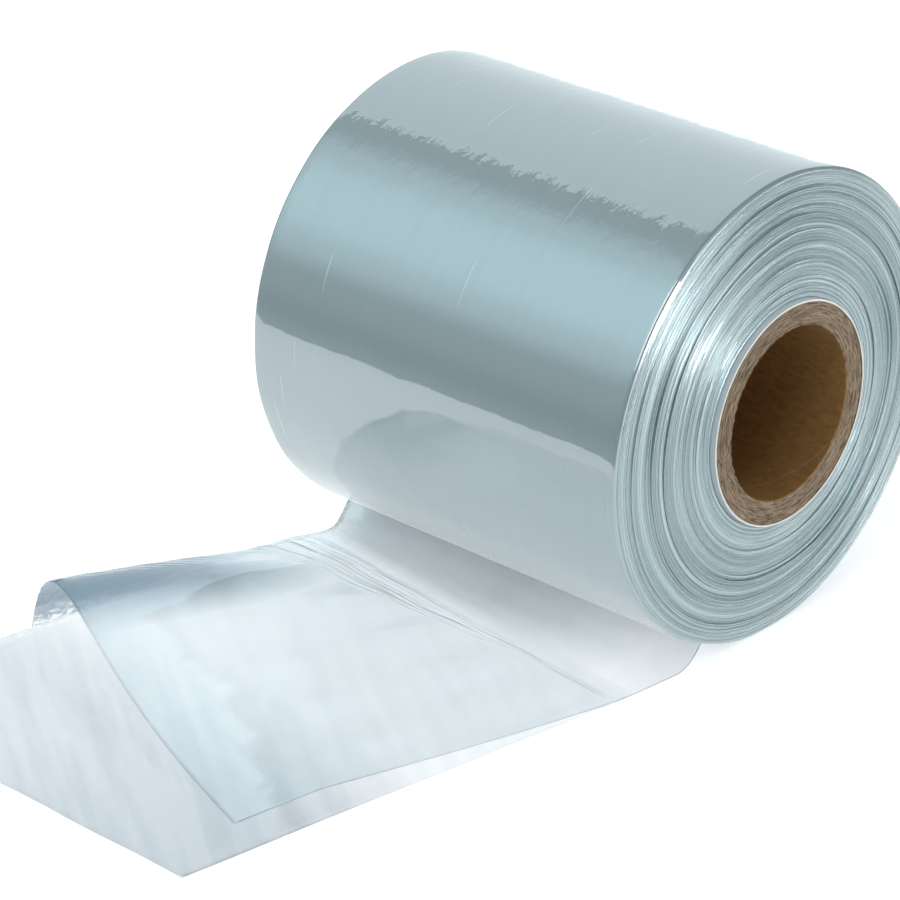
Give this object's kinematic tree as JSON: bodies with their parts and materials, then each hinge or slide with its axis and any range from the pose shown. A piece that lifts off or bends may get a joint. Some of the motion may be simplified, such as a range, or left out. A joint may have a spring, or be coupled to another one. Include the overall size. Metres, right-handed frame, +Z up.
{
  "type": "roll of shrink film",
  "caption": "Roll of centrefolded clear shrink film wound on a paper core, lying on its side with the start of the web paid out and its upper ply lifted like a bag's mouth.",
  "frame": {"origin": "middle of the paper core, on its axis", "axes": "+Y along the core's axis towards the folded edge of the web, +Z up, and the web is paid out towards -X"},
  "size_m": [0.4108, 0.2521, 0.207],
  "materials": {
    "core_paper": "spiral-wound brown paper plies with a white outer ply, cut square",
    "clear_film": "clear glossy film, blue-grey where many turns lie on each other"
  },
  "bodies": {
    "root": {"core": "core_paper", "film": "clear_film"}
  },
  "joints": []
}
